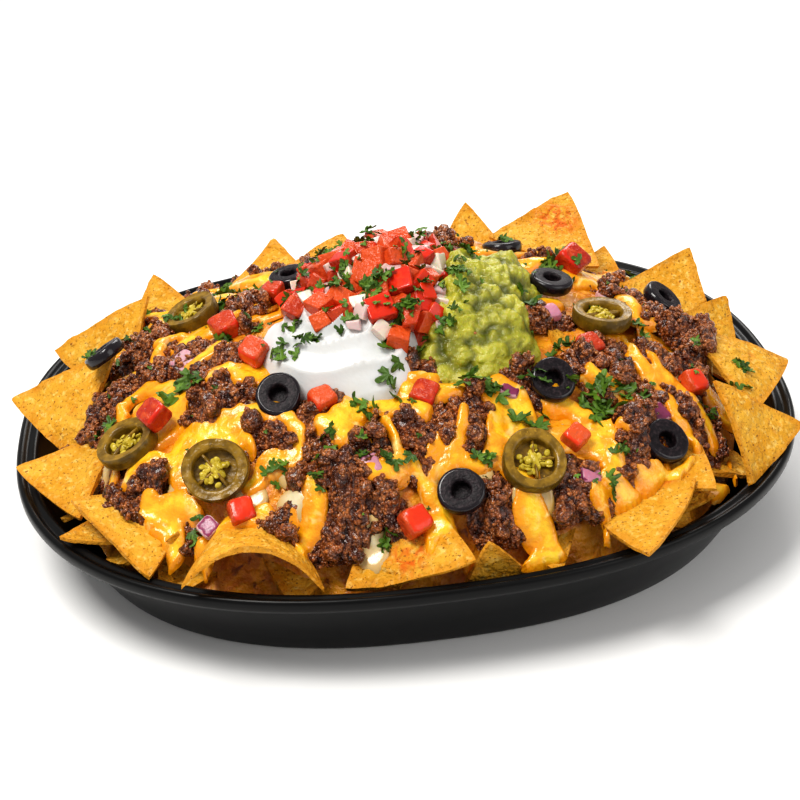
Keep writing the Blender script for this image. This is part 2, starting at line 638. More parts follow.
def olive_flesh_paint():
    """The cut face of an olive: nearly black, with fine paler grain and a purple cast."""
    paint = Paint("olive_flesh", 0.40, Specular_IOR_Level=0.22)
    color = paint.blend(paint.step(paint.grain(1.2), 0.45, 0.75), (0.008, 0.005, 0.007), (0.040, 0.026, 0.030))
    paint.relief(paint.grain(0.8), 0.35)
    return paint.finish(color)


def pepper_paint(name, deep, light, roughness=0.3):
    paint = Paint(name, roughness, Specular_IOR_Level=0.35, Coat_Weight=0.08)
    color = paint.blend(paint.step(paint.grain(4), 0.35, 0.65), deep, light)
    color = paint.blend(paint.step(paint.grain(1.2), 0.62, 0.75), color, tuple(1.5 * value for value in light))
    paint.relief(paint.grain(1.5), 0.3)
    return paint.finish(color)


def leaf_paint():
    """Cilantro: leaves from dark to yellow-green, with pale bits of vein."""
    paint = Paint("cilantro_leaf", 0.45, Specular_IOR_Level=0.35)
    color = paint.blend(paint.tone(), (0.026, 0.070, 0.008), (0.125, 0.235, 0.020))
    color = paint.blend(paint.step(paint.grain(1.5), 0.58, 0.75), color, (0.20, 0.33, 0.055))
    color = paint.blend(paint.step(paint.grain(3), 0.60, 0.72), color, (0.016, 0.045, 0.006))
    paint.relief(paint.grain(1.6), 0.3)
    return paint.finish(color)


def floor_paint():
    paint = Paint("floor", 0.7)
    return paint.finish(paint.blend(paint.grain(300), (0.90, 0.90, 0.90), (0.91, 0.91, 0.91)))


# Dish and heap ------------------------------------------------------------------------------


def make_dish(finish):
    """The dish: a tapered wall, a flanged rim with a rounded lip and a groove inside it, a flat floor."""
    profile = [
        (0.0, 0.0), (0.40, 0.0), (0.80, 0.0), (0.842, 0.0), (0.850, 0.3), (0.856, 1.0), (0.861, 2.4),
        (0.880, 8.5), (0.905, 17.5), (0.930, 27.0), (0.944, 31.4), (0.957, 34.6), (0.966, 35.4),
        (0.980, 35.7), (0.990, 35.9), (0.997, 36.5), (1.000, 37.8), (1.000, 40.0), (0.998, 41.2),
        (0.994, 41.8), (0.989, 42.0), (0.984, 41.7), (0.980, 41.0), (0.977, 40.3), (0.973, 40.0),
        (0.968, 40.1), (0.963, 40.5), (0.957, 40.6), (0.952, 40.1), (0.948, 38.8), (0.943, 36.6),
        (0.930, 31.0), (0.914, 25.4), (0.880, 14.8), (0.852, 6.0), (0.840, 3.6), (0.825, 2.7),
        (0.60, 2.6), (0.0, 2.6),
    ]
    angles = np.arange(DISH_SPOKES) * math.tau / DISH_SPOKES
    rows = []
    for scale, height in profile:
        x, y = on_oval(angles, max(scale, 0.001))
        rows.append(flat3(x, y, height))
    stock = Stock()
    stock.put(np.concatenate(rows), ring_faces(len(profile), DISH_SPOKES))
    stock.piece("dish_shell", "dish", [finish], ["dish"])


def make_bed(finish):
    """The heap under the toppings: chips stuck together with melted cheese."""
    angles = np.arange(BED_SPOKES) * math.tau / BED_SPOKES
    rows = []
    for scale, height in ((0.78, 3.2), (0.835, 8.0), (0.85, 16.0)):
        x, y = on_oval(angles, scale)
        rows.append(flat3(x, y, height))
    for step in range(BED_RINGS):
        part = (1 - step / BED_RINGS) ** 0.8
        x, y = on_oval(angles, heap_edge(angles) * part)
        z = ground(x, y, 0.5) - 1.4 - 14 * smooth_step(0.80, 1.0, part)
        folds = 2.2 * rough(flat3(x, y), 13, 3, 20)
        rows.append(np.stack([x, y, z + folds * smooth_step(0, 0.2, part)], -1))
    stock = Stock()
    stock.put(inside_wall(np.concatenate(rows)), ring_faces(len(rows), BED_SPOKES, True))
    stock.piece("chip_bed", "heap", [finish], ["chip_heap"])
    return stock


def chip_shape(size, along, across, seed, grid=COARSE_CHIP_GRID):
    """A fried corn chip: a bowed triangle with rounded corners and blisters. Its tone is 0 at its edges."""
    height = size * math.sqrt(3) / 2
    corners = np.array([(0, 0), (height, size / 2), (height, -size / 2)])
    middle = np.array([height * 2 / 3, 0])
    flat, tones, index = [], [], {}
    for row in range(grid + 1):
        for step in range(row + 1):
            shares = np.array((1 - row / grid, (row - step) / grid, step / grid))
            sharp = (shares.max() - 1 / 3) * 1.5
            index[row, step] = len(flat)
            tones.append(float(smooth_step(0, 0.11, shares.min() + 0.0004 * size * math.sin(9 * sharp + seed))))
            flat.append(middle + (shares @ corners - middle) * (1 - 0.10 * sharp**4))
    flat = np.array(flat)
    x, y = flat[:, 0], flat[:, 1]
    bow = along * ((x - middle[0]) / middle[0]) ** 2 + across * (y / (size / 2)) ** 2
    level = flat3(x, y, seed * 7.3)
    bow = bow + 1.0 * bumps(level, 17, 1) + 0.40 * bumps(level, 6, 2) + 0.22 * bumps(level, 3, 4)
    blister = 0.8 * smooth_step(0.30, 0.75, bumps(level, 6, 3))
    rows = [np.stack([x, y, bow + 0.8 + blister], -1), np.stack([x, y, bow - 0.8 - 0.3 * blister], -1)]
    count = len(flat)
    faces = []
    for row in range(grid):
        for step in range(row + 1):
            low, left, right = index[row, step], index[row + 1, step], index[row + 1, step + 1]
            faces.append((low, left, right)[::-1])
            faces.append((low + count, left + count, right + count))
            if step < row:
                near = index[row, step + 1]
                faces.append((low, right, near)[::-1])
                faces.append((low + count, right + count, near + count))
    edge = [index[row, 0] for row in range(grid)]
    edge += [index[grid, step] for step in range(grid)]
    edge += [index[row, row] for row in range(grid, 0, -1)]
    for here, after in zip(edge, edge[1:] + edge[:1]):
        faces.append((here, after, after + count, here + count)[::-1])
    return np.concatenate(rows), faces, tones + tones


def inside_wall(points):
    """Points that would run into the dish's wall, drawn in to it."""
    limit = np.interp(points[:, 2], WALL_HEIGHTS, WALL_SCALES) - 0.012
    out = rim_scale(points[:, 0], points[:, 1])
    pull = np.where((points[:, 2] < RIM_HEIGHT) & (out > limit), limit / out, 1.0)
    return points * np.stack([pull, pull, np.ones_like(pull)], -1)


def place_chip(stock, corner, yaw, pitch, roll, size, along, across, seed, grid=COARSE_CHIP_GRID):
    points, faces, tones = chip_shape(size, along, across, seed, grid)
    turn = Euler((math.radians(roll), -math.radians(pitch), math.radians(yaw)), "XYZ").to_matrix()
    stock.put(points @ np.array(turn).T + np.array(corner), faces, 0, tones)


def make_chips(finish):
    """Every chip: the ones that stand clear, those packed at the wall, and broken ones in the heap."""
    dressed, bare = Stock(), Stock()
    for number, (name, *placing) in enumerate(CHIPS):
        stock = Stock()
        place_chip(stock, *placing, number, CHIP_GRID)
        stock.piece(name + "_fried", "chip", [finish], [name], 40)
        place_chip(dressed if name in DRESSED else bare, *placing, number)
    packed = Stock()
    for number, placing in enumerate(FILLERS, 40):
        place_chip(packed, *placing, number)
    packed.points = [inside_wall(points) for points in packed.points]
    packed.piece("wall_chips", "chip", [finish], (), 40)

    random = np.random.default_rng(5)
    lying = Stock()
    for number in range(30):
        reach = math.sqrt(random.uniform(0.12, 0.45))
        angle = number * 2.4 + random.uniform(-0.3, 0.3)
        x, y = on_oval(angle, reach)
        size = random.uniform(34, 48)
        slope = np.array([ground(x + 6, y, 0.5) - ground(x - 6, y, 0.5),
                          ground(x, y + 6, 0.5) - ground(x, y - 6, 0.5)]) / 12
        normal = np.array([-slope[0], -slope[1], 1]) + np.append(random.normal(0, 0.10, 2), 0)
        turn = turn_about(normal / np.linalg.norm(normal), random.uniform(0, math.tau))
        points, faces, tones = chip_shape(size, random.uniform(-3, 3), random.uniform(-4, 4), number + 70)
        points = (points - [size * 0.577, 0, 0]) @ turn.T
        lying.put(inside_wall(points + [x, y, float(ground(x, y, 0.5)) - 3.4]), faces, 0, tones)
    lying.piece("buried_chips", "chip", [finish], (), 40)
    return dressed, bare, lying


# Cheese -------------------------------------------------------------------------------------


def from_line(x, y, points):
    """Distance from each (x, y) to a line through the points."""
    nearest = np.full_like(x, 1e9)
    for (x0, y0), (x1, y1) in zip(points, points[1:]):
        run = np.array([x1 - x0, y1 - y0], float)
        along = np.clip(((x - x0) * run[0] + (y - y0) * run[1]) / (run @ run), 0, 1)
        nearest = np.minimum(nearest, np.hypot(x - x0 - along * run[0], y - y0 - along * run[1]))
    return nearest


def back_bands():
    """Bands for the side that faces away, running down from the top."""
    random = np.random.default_rng(9)
    bands = []
    for number in range(24):
        angle = 0.12 + number * 0.125
        reach = random.uniform(0.30, 0.50)
        points = []
        for _ in range(random.integers(4, 6)):
            points.append(on_oval(angle, reach))
            reach += random.uniform(0.07, 0.11)
            angle += random.uniform(-0.10, 0.10)
        bands.append((random.uniform(2.2, 4.6), points))
    return bands


def melted(stock, inside, base, thickness, edge):
    """Adds a melted layer. inside is how far each grid point lies within its outline, in mm."""
    (x, y), field = inside
    known = {}
    points = []
    tones = []

    def corner(row, column):
        key = row, column
        if key not in known:
            known[key] = len(points)
            deep = min(field[key] / edge, 1)
            rise = thickness[key] * math.sqrt(1 - (1 - deep) ** 2)
            points.append((x[key], y[key], base[key] + rise))
            tones.append(min(field[key] / edge, 2) / 2)
        return known[key]

    def crossing(first, second):
        key = min(first, second), max(first, second)
        if key not in known:
            known[key] = len(points)
            share = field[first] / (field[first] - field[second])
            spot = [(1 - share) * layer[first] + share * layer[second] for layer in (x, y, base)]
            points.append((spot[0], spot[1], spot[2] - 0.9))
            tones.append(0)
        return known[key]

    wet = field > 0
    some = wet[:-1, :-1] | wet[1:, :-1] | wet[:-1, 1:] | wet[1:, 1:]
    faces = []
    for row, column in np.argwhere(some):
        around = [(row, column), (row + 1, column), (row + 1, column + 1), (row, column + 1)]
        around = [(int(i), int(j)) for i, j in around]
        face = []
        for here, after in zip(around, around[1:] + around[:1]):
            if wet[here]:
                face.append(corner(*here))
            if wet[here] != wet[after]:
                face.append(crossing(here, after))
        if len(face) > 2:
            faces.append(face)
    stock.put(points, faces, 0, tones)


def grid(step):
    """Points a step apart over the whole heap, in x and y."""
    return np.meshgrid(np.arange(-158, 158, step), np.arange(-142, 142, step), indexing="ij")


def drape(x, y, base, layers, chips):
    """Lifts base onto the chips that carry toppings, and ends the layers where a chip stands over them."""
    wet = np.max(layers, axis=0) > -1.5
    for row, column in np.argwhere(wet):
        start = Vector((x[row, column], y[row, column], 140))
        for tree, reach in chips:
            spot = tree.ray_cast(start, Vector((0, 0, -1)))[0]
            if spot is None or spot.z < base[row, column]:
                continue
            if spot.z > base[row, column] + reach:
                for layer in layers:
                    layer[row, column] = -1
            else:
                base[row, column] = spot.z
    for _ in range(3):
        near = np.pad(base, 1, mode="edge")
        base = (near[:-2, 1:-1] + near[2:, 1:-1] + near[1:-1, :-2] + near[1:-1, 2:] + 2 * base) / 6
    return base


def cheese_fields(x, y):
    """How far within the yellow bands and the white patches each point lies, in mm."""
    flat = flat3(x, y)
    sweep_x = x + 1.8 * bumps(flat, 9, 30) + 0.8 * bumps(flat, 4, 32)
    sweep_y = y + 1.8 * bumps(flat, 9, 31) + 0.8 * bumps(flat, 4, 33)
    bands = np.full_like(x, -9.0)
    for width, line in BANDS + back_bands():
        from_it = width + 0.9 - from_line(sweep_x, sweep_y, line)
        bands = np.logaddexp(1.6 * bands, 1.6 * from_it) / 1.6
    pools = np.minimum(9 * (bumps(flat, 19, 36) - 0.40), 2 - clump_reach(x, y))
    bands = np.maximum(bands + 0.7 * bumps(flat, 12, 34), pools)
    patches = np.full_like(x, -9.0)
    for patch_x, patch_y, radius in WHITE_PATCHES:
        patches = np.maximum(patches, radius - np.hypot(sweep_x - patch_x, sweep_y - patch_y))
    outside = rim_scale(x, y) > 0.92
    bands[outside] = -1
    patches[outside] = -1
    return bands, patches


def make_cheese(yellow, white, chips):
    """The two melted cheeses, draped over the heap and the chips on it."""
    x, y = grid(CHEESE_STEP)
    field, pale = cheese_fields(x, y)
    base = ground(x, y) + 2.2 * smooth_step(-1, 3, beef_reach(x, y)) - 0.8
    base = drape(x, y, base, (field, pale), chips)
    thick = 3.1 + 0.8 * bumps(flat3(x, y), 12, 40) + 0.35 * bumps(flat3(x, y), 4, 41)
    stock = Stock()
    melted(stock, ((x, y), field), base, thick, 2.6)
    stock.points = [inside_wall(points) for points in stock.points]
    stock.piece("yellow_cheese", "cheese", [yellow], (), 70)
    pool = Stock()
    melted(pool, ((x, y), pale), base, thick * 0.4, 3.6)
    pool.piece("white_cheese", "cheese", [white], (), 70)
    return stock, pool


# Beef ---------------------------------------------------------------------------------------


def clump_reach(x, y):
    """How far within a clump of beef each point lies, in mm."""
    flat = flat3(x, y)
    sweep_x = x + 2.5 * bumps(flat, 10, 45) + 1.2 * bumps(flat, 4, 47)
    sweep_y = y + 2.5 * bumps(flat, 10, 46) + 1.2 * bumps(flat, 4, 48)
    reach = np.full_like(x, -30.0)
    for clump_x, clump_y, radius, _ in CLUMPS + BACK_CLUMPS:
        reach = np.maximum(reach, radius - np.hypot(sweep_x - clump_x, sweep_y - clump_y))
    return reach


def beef_reach(x, y):
    """How far within the beef each point lies, in mm, before the cheese takes its share."""
    reach = np.maximum(clump_reach(x, y), 9 * (bumps(flat3(x, y), 17, 44) - 0.22))
    return np.where(rim_scale(x, y) > 0.87, -9, reach)


def crumbs(points):
    """The relief of minced meat, in mm, and its tone: dark in the cracks and light on the grains."""
    grain = cells(points, 2.4, 50)
    fine = cells(points, 1.4, 51)
    rise = 1.9 * (0.55 - grain) + 0.7 * (0.5 - fine) + 1.4 * bumps(points, 6, 52)
    return rise, np.clip(1.38 - 1.25 * grain - 0.42 * fine + 0.2 * bumps(points, 6, 53), 0, 1)


def room(x, y, slices):
    """How far outside the nearest slice each point lies, in mm."""
    nearest = np.full(np.shape(x), 99.0)
    for (centre_x, centre_y, _), radius in slices:
        nearest = np.minimum(nearest, np.hypot(x - centre_x, y - centre_y) - radius)
    return nearest


def make_beef(finish, chips, slices):
    """Crumbled beef: a lumpy layer in its clumps, with rounder lumps and loose grains on it."""
    x, y = grid(BEEF_STEP)
    field = np.minimum(beef_reach(x, y), 1.6 - cheese_fields(x, y)[0])
    base = drape(x, y, ground(x, y) - 0.6, (field,), chips)
    warped = flat3(x + 2.4 * bumps(flat3(x, y), 8, 54), y + 2.4 * bumps(flat3(x, y), 8, 55))
    thick = 1.0 + 6.6 * np.clip(1 - (cells(warped, 12, 56) / 0.74) ** 2, 0, 1)
    space = room(x, y, slices)
    thick = thick * (0.3 + 0.7 * smooth_step(-3, 4, space))
    layer = Stock()
    melted(layer, ((x, y), field), base, thick, 3.6)
    layer.roughen(crumbs)
    layer.piece("beef_layer", "beef", [finish], (), 80)

    random = np.random.default_rng(3)
    lump, lump_faces = ball(3)
    grain, grain_faces = ball(2)
    lumps, grains = Stock(), Stock()
    tree = layer.tree()
    inside = np.argwhere(field > 0.8)
    placed = []
    for row, column in random.permutation(inside)[:9000]:
        spot = np.array([x[row, column], y[row, column]])
        size = random.uniform(2.6, 4.6)
        if any(np.hypot(*(spot - other)) < 0.8 * (size + width) for other, width in placed):
            continue
        if random.uniform() < 0.2 or field[row, column] < 0.6 * size or space[row, column] < size:
            continue
        placed.append((spot, size))
        if len(placed) > MOST_LUMPS:
            break
        top = highest([tree], *spot)[0]
        if top is None:
            continue
        centre = np.array(top) - [0, 0, size * random.uniform(0.15, 0.6)]
        shape = lump * random.uniform(0.8, 1.2, 3) * size @ random_turn(random).T
        lumps.put(shape + centre, lump_faces)
        lumps.roughen(crumbs)
    tree = [tree, lumps.tree()]
    nearby = np.argwhere((field > -1.2) & (space > 0.5))
    for row, column in random.permutation(nearby)[:MOST_GRAINS]:
        spot, normal = highest(tree, x[row, column] + random.normal(0, 0.8), y[row, column] + random.normal(0, 0.8))
        if spot is None:
            continue
        size = random.uniform(0.6, 1.35)
        shape = grain * size * random.uniform(0.75, 1.25, 3)
        shape = shape * (1 + 0.25 * bumps(shape * 2 + np.array(spot), 1.5, 60))[:, None] @ random_turn(random).T
        centre = np.array(spot + normal * size * 0.35)
        grains.put(shape + centre, grain_faces, 0, random.uniform(0.5, 1.0))
    lumps.piece("beef_lumps", "beef", [finish], (), 80)
    grains.piece("beef_grains", "beef", [finish], (), 80)
    return layer, lumps


# Mounds -------------------------------------------------------------------------------------


def three_lobes(angles):
    return 1 + 0.07 * np.sin(3 * angles - 0.9) + 0.04 * np.sin(5 * angles + 1.0)


def square_lobes(angles):
    return 1 - 0.09 * np.cos(4 * angles) + 0.03 * np.sin(7 * angles)


def mound(shape, spokes, rings, top, outline=three_lobes, foot=8.0):
    """Points and faces of a mound: top(x, y, part) is its height, part is 0 at its middle, 1 at its edge."""
    centre_x, centre_y, half_x, half_y, slant, _ = shape
    angles = np.arange(spokes) * math.tau / spokes
    wave = outline(angles)
    rows = []
    for step in range(rings + 1):
        part = 1 - step / (rings + 0.5)
        y = half_y * wave * part * np.sin(angles)
        x = centre_x + half_x * wave * part * np.cos(angles) + slant * y
        y = y + centre_y
        rows.append(np.stack([x, y, top(x, y, part)], -1))
    low = rows[0] - [0, 0, foot]
    return np.concatenate([low, *rows]), ring_faces(len(rows) + 1, spokes, True)


def make_cream(finish):
    """Sour cream: a soft dome with folds where the spoon left it."""
    def top(x, y, part):
        way = np.arctan2(y - SOUR_CREAM[1], x - SOUR_CREAM[0])
        sweep = 3.3 * part + 0.34 * way + 0.5 * bumps(flat3(x, y), 20, 5)
        folds = 4.2 * (1 - np.abs(np.sin(math.pi * sweep))) ** 2 + 2.6 * bumps(flat3(x, y), 12, 8)
        folds = folds + 5 * np.exp(-((x - LOBE[0]) ** 2 + (y - LOBE[1]) ** 2) / 90)
        dome = (SOUR_CREAM[5] + 3) * (1 - part**3.6) ** 0.8 + 3.4
        edge = math.sqrt(max(1 - part**8, 0))
        return ground(x, y, 0.3) + dome * edge + folds * (1 - part**4)

    points, faces = mound(SOUR_CREAM, 150, 60, top)
    stock = Stock()
    stock.put(points, faces)
    stock.piece("sour_cream_dollop", "sour_cream", [finish], ["sour_cream"], 80)
    return stock


def make_guacamole(finish):
    """Guacamole: a coarse mash with soft chunks."""
    def top(x, y, part):
        dome = GUACAMOLE[5] * (1 - part**2.6) + 2.6
        edge = math.sqrt(max(1 - part**10, 0))
        return ground(x, y, 0.3) + dome * edge + 2.4 * bumps(flat3(x, y, 40), 13, 9) * (1 - part**4)

    points, faces = mound(GUACAMOLE, 190, 90, top, square_lobes)
    away = points - np.array([GUACAMOLE[0], GUACAMOLE[1], 70])
    away /= np.linalg.norm(away, axis=1)[:, None]
    warped = points + 1.5 * np.stack([bumps(points, 5, seed) for seed in (10, 11, 12)], -1)
    large, small = cells(warped, 11, 13), cells(warped, 4.5, 14)
    chunk = 6.0 * (0.5 - large) + 2.0 * (0.5 - small) + 0.5 * bumps(points, 1.6, 15)
    stock = Stock()
    stock.put(points + away * chunk[:, None], faces, 0, np.clip(1.45 - 1.1 * large - 0.6 * small, 0, 1))
    stock.piece("guacamole_mash", "guacamole", [finish], ["guacamole"], 80)
    return stock


# Dice ---------------------------------------------------------------------------------------


def dice_shape(size, seed):
    """A hand-cut dice with worn edges: points, faces and the side that each face is on."""
    random = np.random.default_rng(seed)
    bm = bmesh.new()
    bmesh.ops.create_cube(bm, size=1)
    for vertex in bm.verts:
        vertex.co = Vector(np.array(vertex.co) * size + random.normal(0, 0.07, 3) * np.mean(size))
    bmesh.ops.bevel(
        bm, geom=bm.edges[:], offset=float(np.min(size)) * 0.12, segments=3, profile=0.6, affect="EDGES"
    )
    bmesh.ops.triangulate(bm, faces=bm.faces[:])
    bmesh.ops.subdivide_edges(bm, edges=[edge for edge in bm.edges if edge.calc_length() > 2.4], cuts=1)
    bmesh.ops.triangulate(bm, faces=bm.faces[:])
    bm.normal_update()
    points = np.array([vertex.co for vertex in bm.verts])
    faces = [tuple(vertex.index for vertex in face.verts) for face in bm.faces]
    skin = [int(face.normal.z > 0.6) for face in bm.faces]
    bm.free()
    points = points + 0.35 * np.stack([bumps(points + seed, 3, axis) for axis in (70, 71, 72)], -1)
    return points, faces, skin


def make_pico(core_paint, tomato, onion, cream):
    """Pico de gallo: a pile of tomato and onion dice over a small core."""
    def top(x, y, part):
        dome = (PICO[5] - 6) * (1 - part**2.4)
        return RIM_HEIGHT + HEAP_RISE - 8 + dome + 1.5 * bumps(flat3(x, y), 8, 18)

    core_shape = (PICO[0], PICO[1], PICO[2] - 3, PICO[3] - 3, 0, 0)
    points, faces = mound(core_shape, 80, 30, top)
    core = Stock()
    core.put(points, faces)
    core.piece("pico_core", "pico", [core_paint], ["pico_de_gallo"], 80)
    trees = [core.tree(), cream.tree()]

    random = np.random.default_rng(12)
    tomatoes, onions = Stock(), Stock()
    placed = []
    for _ in range(3500):
        part = math.sqrt(random.uniform())
        angle = random.uniform(0, math.tau)
        x = PICO[0] + PICO[2] * part * math.cos(angle)
        y = PICO[1] + PICO[3] * part * math.sin(angle)
        spot, normal = highest(trees, x, y)
        if spot is None or spot.z < RIM_HEIGHT + HEAP_RISE - 9:
            continue
        if math.hypot(x - LOBE[0], y - LOBE[1]) < 11:
            continue
        is_onion = random.uniform() < 0.24
        size = random.uniform(6.0, 8.5) if is_onion else random.uniform(7.5, 12.0)
        centre = np.array(spot + normal * size * random.uniform(0.10, 0.32))
        if any(np.linalg.norm(centre - other) < 0.5 * (size + width) * 0.74 for other, width in placed):
            continue
        placed.append((centre, size))
        lean = np.array(normal) + random.normal(0, 0.45, 3)
        turn = turn_about(lean / np.linalg.norm(lean), random.uniform(0, math.tau))
        sides = size * np.array([random.uniform(0.8, 1.1), random.uniform(0.8, 1.1), random.uniform(0.6, 0.95)])
        shape, dice_faces, skin = dice_shape(sides, len(placed))
        shape = shape @ turn.T + centre
        tone = random.uniform(0, 1)
        if is_onion:
            onions.put(shape, dice_faces, 0, tone)
        else:
            tomatoes.put(shape, dice_faces, skin if tone < 0.6 else 0, tone)
    tomatoes.piece("pico_tomato", "pico", tomato, (), 50)
    onions.piece("pico_onion", "white_onion", [onion], (), 50)
    return core, tomatoes, onions


# Toppings that have a CAD solid -------------------------------------------------------------


def stance(node):
    """The centre of a sliced topping and the direction of its axis, from its CAD solid."""
    points = np.array([vertex.co for vertex in node.data.vertices]) / MM
    points = np.unique(np.round(points, 3), axis=0)
    centre = points.mean(axis=0)
    spread, ways = np.linalg.eigh(np.cov((points - centre).T))
    axis = ways[:, np.argmin(spread)]
    return centre, axis if axis[2] > 0 else -axis


def make_olive(number, node, skin, flesh):
    """A slice across a pitted olive."""
    centre, axis = stance(node)
    half = 2.8
    profile = [
        (3.7, 1.6), (3.9, 2.5), (4.6, half), (6.4, half - 0.15), (8.0, half), (8.7, half - 0.2), (9.2, 2.1),
        (9.45, 1.0), (9.5, 0), (9.45, -1.0), (9.2, -2.1), (8.6, -half), (4.3, -half), (3.8, -2.4), (3.6, 0),
        (3.7, 1.6),
    ]
    points, faces = lathe(profile, SLICE_STEPS, 0.02, number)
    points = points + 0.12 * np.stack([bumps(points + number, 2.5, axis_seed) for axis_seed in (80, 81, 82)], -1)
    sides = [0 if 4 <= face // SLICE_STEPS <= 11 else 1 for face in range(len(faces))]
    stock = Stock()
    turn = turn_about(axis, number)
    stock.put(points @ turn.T + centre, faces, sides)
    plug, plug_faces = lathe([(3.9, -2.2), (2.0, -2.0), (0.1, -2.1)], SLICE_STEPS)
    stock.put(plug @ turn.T + centre, plug_faces, 1)
    stock.piece(f"olive_slice_{number}", "olive", [skin, flesh], [f"olive_{number}"], 70)
    return stock


def make_jalapeno(number, node, skin, flesh, seed_paint):
    """A slice across a pickled pepper: skin, wall, a dark chamber, pith and seeds."""
    random = np.random.default_rng(number + 20)
    centre, axis = stance(node)
    half = 3.2
    rim = [
        (8.4, -half), (12.2, -half), (12.9, -2.6), (13.1, -1.2), (13.1, 1.0), (12.95, 2.6), (12.6, half),
        (11.6, 2.95), (10.4, 2.9), (9.3, 3.0), (8.8, 2.6), (8.5, 1.2), (8.4, -1.8),
    ]
    points, faces = lathe(rim, SLICE_STEPS, 0.03, number)
    points = points + 0.2 * np.stack([bumps(points + number, 3, axis_seed) for axis_seed in (90, 91, 92)], -1)
    sides = [0 if face // SLICE_STEPS < 6 else 1 for face in range(len(faces))]
    stock = Stock()
    turn = turn_about(axis, number * 1.3)
    stock.put(points @ turn.T + centre, faces, sides)
    floor, floor_faces = lathe([(8.8, -1.4), (5, -1.6), (0.1, -1.4)], SLICE_STEPS, 0.03, number)
    floor = floor + [0, 0, 0.5] * bumps(floor, 3, 93)[:, None]
    stock.put(floor @ turn.T + centre, floor_faces, 1)
    blob, blob_faces = ball(3)
    uneven = (1 + 0.25 * bumps(blob * 3 + number, 1.6, 94))[:, None]
    stock.put((blob * [2.0, 4.6, 1.9] * uneven + [0, 0, 0.1]) @ turn.T + centre, blob_faces, 2)
    for way in (1.3, 4.5, 6.1):
        wall = blob * [4.6, 0.75, 1.9] * uneven + [4.8, 0, 0.2]
        stock.put(wall @ np.array(Matrix.Rotation(way, 3, "Z")).T @ turn.T + centre, blob_faces, 1)
    seed_ball, seed_faces = ball(2)
    for _ in range(30):
        way = random.choice((0.0, math.pi)) + random.normal(0, 0.75)
        reach = random.uniform(1.8, 6.4)
        tilt = turn_about(random.normal(0, 0.5, 3) + [0, 0, 1], random.uniform(0, math.tau))
        seed = seed_ball * [1.55, 1.25, 0.55] @ tilt.T
        spot = [reach * math.cos(way), reach * math.sin(way), random.uniform(0.6, 2.4) - 0.15 * reach]
        stock.put((seed + spot) @ turn.T + centre, seed_faces, 2)
    stock.piece(f"jalapeno_slice_{number}", "jalapeno", [skin, flesh, seed_paint], [f"jalapeno_{number}"], 70)
    return stock


def make_dice(name, node, slot, finishes):
    """A large dice on the heap, from its CAD solid: its edges rounded and its faces uneven."""
    bm = bmesh.new()
    bm.from_mesh(node.data)
    bmesh.ops.remove_doubles(bm, verts=bm.verts, dist=0.01 * MM)
    bmesh.ops.dissolve_limit(bm, angle_limit=math.radians(8), verts=bm.verts, edges=bm.edges)
    bmesh.ops.triangulate(bm, faces=bm.faces[:])
    for _ in range(2):
        long_edges = [edge for edge in bm.edges if edge.calc_length() > 1.6 * MM]
        bmesh.ops.subdivide_edges(bm, edges=long_edges, cuts=1)
        bmesh.ops.triangulate(bm, faces=bm.faces[:])
    bmesh.ops.smooth_vert(bm, verts=bm.verts, factor=0.5, use_axis_x=True, use_axis_y=True, use_axis_z=True)
    bm.normal_update()
    bm.verts.index_update()
    points = np.array([vertex.co for vertex in bm.verts]) / MM
    faces = [tuple(vertex.index for vertex in face.verts) for face in bm.faces]
    number = int(name.rsplit("_", 1)[1])
    ways = [face.normal.copy() for face in bm.faces]
    skin_way = Vector((math.sin(2.1 * number), -1, 0.8 + math.cos(1.7 * number)))
    skin_way = max(ways, key=skin_way.dot)
    sides = [int(way.dot(skin_way) > 0.8) for way in ways]
    bm.free()
    points = points + 0.3 * np.stack([bumps(points, 3, axis) for axis in (100, 101, 102)], -1) - [0, 0, 2.4]
    stock = Stock()
    stock.put(points, faces, sides, number * 0.37 % 1)
    stock.piece(name + "_dice", slot, finishes, [name], 50)
    return stock


# Cilantro -----------------------------------------------------------------------------------


def leaf_shape(size, seed):
    """A cilantro leaf: a fan of three broad lobes with rounded teeth, curled a little."""
    random = np.random.default_rng(seed)
    steps = 37
    ways = np.linspace(-2.0, 2.0, steps)
    reach = np.full(steps, 0.46)
    for lobe, length in ((0, 1.0), (-1.15, 0.86), (1.15, 0.86)):
        reach = np.maximum(reach, length * np.exp(-(((ways - lobe) / 0.52) ** 4)))
    teeth = np.abs(np.cos(ways * 4.1 + 0.5 * math.pi * (seed % 2)))
    reach = reach * (0.74 + 0.30 * teeth**0.7) * size
    curl, fold = random.uniform(-0.15, 0.55), random.uniform(-0.4, 0.5)
    points = [(0, 0, 0)]
    for share in (0.55, 1.0):
        x = reach * share * np.sin(ways)
        y = reach * share * np.cos(ways)
        far = np.hypot(x, y) / size
        z = size * (curl * far**2 * np.cos(ways * 1.4) + fold * np.abs(x / size) + 0.08 * np.sin(ways * 8) * far)
        points.extend(zip(x, y, z))
    faces = [(0, 1 + step, 2 + step) for step in range(steps - 1)]
    faces += [(1 + step, 1 + steps + step, 2 + steps + step, 2 + step) for step in range(steps - 1)]
    points = np.array(points)
    count = len(points)
    under = [tuple(index + count for index in face[::-1]) for face in faces]
    return np.concatenate([points + [0, 0, 0.12], points - [0, 0, 0.12]]), faces + under


